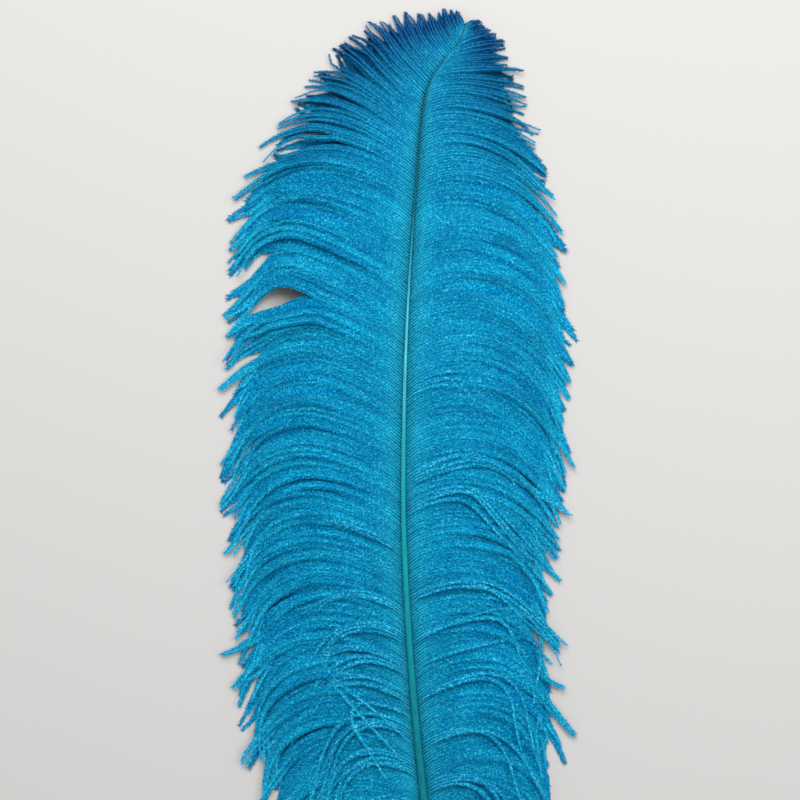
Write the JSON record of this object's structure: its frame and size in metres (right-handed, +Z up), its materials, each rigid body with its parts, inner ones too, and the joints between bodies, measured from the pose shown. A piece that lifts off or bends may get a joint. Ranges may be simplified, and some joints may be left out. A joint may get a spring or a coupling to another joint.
{
  "type": "ostrich feather",
  "caption": "Dyed turquoise ostrich plume lying face up, with a bare quill, a long tapering shaft and a full vane of drooping, overlapping locks.",
  "frame": {"origin": "middle of the plume's outline, on the surface that it lies on", "axes": "+Y along the shaft from the quill to the tip, +X to the right of the shaft seen from above, +Z up"},
  "size_m": [0.2276, 0.6038, 0.036],
  "materials": {
    "dyed_feather": "soft fibrous keratin, dyed turquoise, with a satin glint"
  },
  "bodies": {
    "root": {"ostrich_feather": "dyed_feather"}
  },
  "joints": []
}
